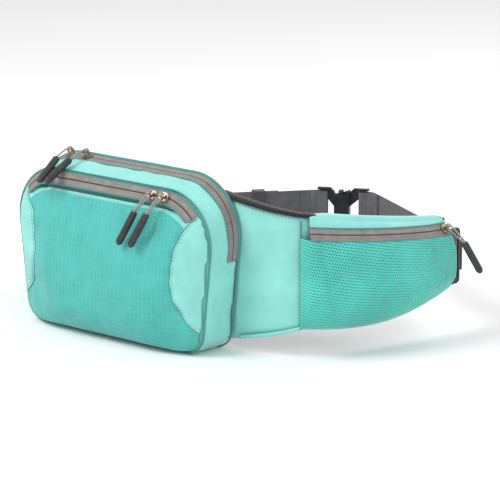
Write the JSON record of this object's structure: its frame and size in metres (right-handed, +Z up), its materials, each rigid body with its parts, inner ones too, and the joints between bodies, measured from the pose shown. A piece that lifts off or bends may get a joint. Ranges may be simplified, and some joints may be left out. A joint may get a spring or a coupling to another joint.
{
  "type": "waist pack",
  "caption": "Waist pack with a zipped main compartment, zipped front pocket, padded hip wings with zipped mesh pockets, and a webbing belt with a side-release buckle.",
  "frame": {"origin": "centre of the lumbar pad's contact face, which rests against the wearer", "axes": "+Z up, +Y towards the wearer, so the pack's front faces -Y; +X to the right of someone looking at the front"},
  "size_m": [0.4196, 0.3305, 0.1558],
  "materials": {
    "gusset": "plain weave nylon, light teal",
    "ripstop": "ripstop nylon, deeper teal",
    "crescent": "plain weave nylon, light teal",
    "pocket_mesh": "perforated stretch mesh, teal green",
    "binding": "black edge binding tape",
    "spacer_mesh": "black spacer mesh",
    "foam": "closed-cell foam",
    "zip_tape": "warm grey zip tape with a nylon coil",
    "webbing": "ribbed grey webbing",
    "hardware": "moulded black acetal",
    "slider_metal": "gunmetal plated zinc",
    "pull_cord": "grey braided cord",
    "pull_grip": "charcoal moulded rubber",
    "keeper_elastic": "grey elastic webbing"
  },
  "bodies": {
    "pack": {"lumbar_foam": "foam", "lumbar_mesh": "spacer_mesh", "main_compartment": "gusset", "main_zip_rear": "zip_tape", "main_zip_front": "zip_tape", "front_pocket_panel": "ripstop", "pocket_crescent_right": "crescent", "pocket_crescent_left": "crescent", "front_zip_upper": "zip_tape", "front_zip_lower": "zip_tape", "buckle_female": "hardware", "wing_face_right": "gusset", "wing_foam_right": "foam", "wing_lining_right": "spacer_mesh", "wing_binding_right": "binding", "wing_pocket_top_right": "gusset", "wing_pocket_mesh_right": "pocket_mesh", "wing_zip_upper_right": "zip_tape", "wing_zip_lower_right": "zip_tape", "ladder_lock_right": "hardware", "lock_loop_right": "webbing", "strap_right": "webbing", "wing_face_left": "gusset", "wing_foam_left": "foam", "wing_lining_left": "spacer_mesh", "wing_binding_left": "binding", "wing_pocket_top_left": "gusset", "wing_pocket_mesh_left": "pocket_mesh", "wing_zip_upper_left": "zip_tape", "wing_zip_lower_left": "zip_tape", "ladder_lock_left": "hardware", "lock_loop_left": "webbing", "strap_left": "webbing"},
    "main_zip_left_slider": {"main_zip_left_slider": "slider_metal"},
    "main_zip_left_pull": {"main_zip_left_cord": "pull_cord", "main_zip_left_grip": "pull_grip"},
    "main_zip_right_slider": {"main_zip_right_slider": "slider_metal"},
    "main_zip_right_pull": {"main_zip_right_cord": "pull_cord", "main_zip_right_grip": "pull_grip"},
    "front_zip_left_slider": {"front_zip_left_slider": "slider_metal"},
    "front_zip_left_pull": {"front_zip_left_cord": "pull_cord", "front_zip_left_grip": "pull_grip"},
    "front_zip_right_slider": {"front_zip_right_slider": "slider_metal"},
    "front_zip_right_pull": {"front_zip_right_cord": "pull_cord", "front_zip_right_grip": "pull_grip"},
    "wing_zip_left_slider": {"wing_zip_left_slider": "slider_metal"},
    "wing_zip_left_pull": {"wing_zip_left_cord": "pull_cord", "wing_zip_left_grip": "pull_grip"},
    "wing_zip_right_slider": {"wing_zip_right_slider": "slider_metal"},
    "wing_zip_right_pull": {"wing_zip_right_cord": "pull_cord", "wing_zip_right_grip": "pull_grip"},
    "buckle_male": {"buckle_male": "hardware"},
    "buckle_prong_upper": {"buckle_prong_upper": "hardware"},
    "buckle_prong_lower": {"buckle_prong_lower": "hardware"},
    "keeper_right": {"keeper_right": "keeper_elastic"},
    "keeper_left": {"keeper_left": "keeper_elastic"}
  },
  "joints": [
    {"name": "main_zip_right_travel", "type": "slide", "parent": "pack", "child": "main_zip_right_slider", "axis": [1, 0, 0], "range_m": [0, 0.086]},
    {"name": "main_zip_left_travel", "type": "hinge", "parent": "pack", "child": "main_zip_left_slider", "pos_m": [-0.06422, -0.0195, 0.02357], "axis": [0, -1, 0], "range_deg": [0, 14]},
    {"name": "front_zip_left_travel", "type": "slide", "parent": "pack", "child": "front_zip_left_slider", "axis": [-1, 0, 0], "range_m": [0, 0.086]},
    {"name": "front_zip_right_travel", "type": "hinge", "parent": "pack", "child": "front_zip_right_slider", "pos_m": [0.06247, -0.0523, 0.0161], "axis": [0, 1, 0], "range_deg": [0, 34]},
    {"name": "wing_zip_right_travel", "type": "hinge", "parent": "pack", "child": "wing_zip_right_slider", "pos_m": [0.05263, 0.12181, 0.02261], "axis": [0, -0.0946, -0.9955], "range_deg": [0, 43]},
    {"name": "wing_zip_left_travel", "type": "hinge", "parent": "pack", "child": "wing_zip_left_slider", "pos_m": [-0.08937, 0.07425, 0.0238], "axis": [0, 0.04, 0.9992], "range_deg": [0, 56]},
    {"name": "main_zip_left_pull_swing", "type": "hinge", "parent": "main_zip_left_slider", "child": "main_zip_left_pull", "pos_m": [-0.07288, -0.02094, 0.07706], "axis": [-0.9871, 0, -0.1599], "range_deg": [0, 110]},
    {"name": "main_zip_right_pull_swing", "type": "hinge", "parent": "main_zip_right_slider", "child": "main_zip_right_pull", "pos_m": [-0.054, -0.02094, 0.07776], "axis": [-1, 0, 0], "range_deg": [0, 110]},
    {"name": "front_zip_left_pull_swing", "type": "hinge", "parent": "front_zip_left_slider", "child": "front_zip_left_pull", "pos_m": [0.052, -0.05693, 0.06197], "axis": [-1, 0, 0], "range_deg": [0, 110]},
    {"name": "front_zip_right_pull_swing", "type": "hinge", "parent": "front_zip_right_slider", "child": "front_zip_right_pull", "pos_m": [0.06535, -0.05693, 0.06188], "axis": [-0.998, 0, 0.0628], "range_deg": [0, 110]},
    {"name": "wing_zip_left_pull_swing", "type": "hinge", "parent": "wing_zip_left_slider", "child": "wing_zip_left_pull", "pos_m": [-0.10246, 0.15522, 0.02403], "axis": [0.9836, 0.1787, -0.0248], "range_deg": [0, 110]},
    {"name": "wing_zip_right_pull_swing", "type": "hinge", "parent": "wing_zip_right_slider", "child": "wing_zip_right_pull", "pos_m": [0.22348, 0.13527, 0.02465], "axis": [0.0325, -0.9977, 0.0588], "range_deg": [0, 110]},
    {"name": "buckle_release", "type": "slide", "parent": "pack", "child": "buckle_male", "axis": [-0.8829, -0.4695, 0], "range_m": [0, 0.0085], "deforming": ["strap_left"]},
    {"name": "buckle_prong_upper_squeeze", "type": "slide", "parent": "buckle_male", "child": "buckle_prong_upper", "axis": [0, 0, -1], "range_m": [0, 0.0052], "stiffness_N_per_m": 400},
    {"name": "buckle_prong_lower_squeeze", "type": "slide", "parent": "buckle_male", "child": "buckle_prong_lower", "axis": [0, 0, 1], "range_m": [0, 0.0052], "stiffness_N_per_m": 400},
    {"name": "keeper_right_travel", "type": "slide", "parent": "pack", "child": "keeper_right", "axis": [-0.8707, 0.4919, 0], "range_m": [-0.03, 0.004]},
    {"name": "keeper_left_travel", "type": "slide", "parent": "pack", "child": "keeper_left", "axis": [0.6209, 0.7839, 0], "range_m": [-0.03, 0.004]}
  ],
  "couplings": [
    {"joint": "buckle_prong_upper_squeeze", "follows": "buckle_release", "ratio": 0.6},
    {"joint": "buckle_prong_lower_squeeze", "follows": "buckle_release", "ratio": 0.6}
  ]
}
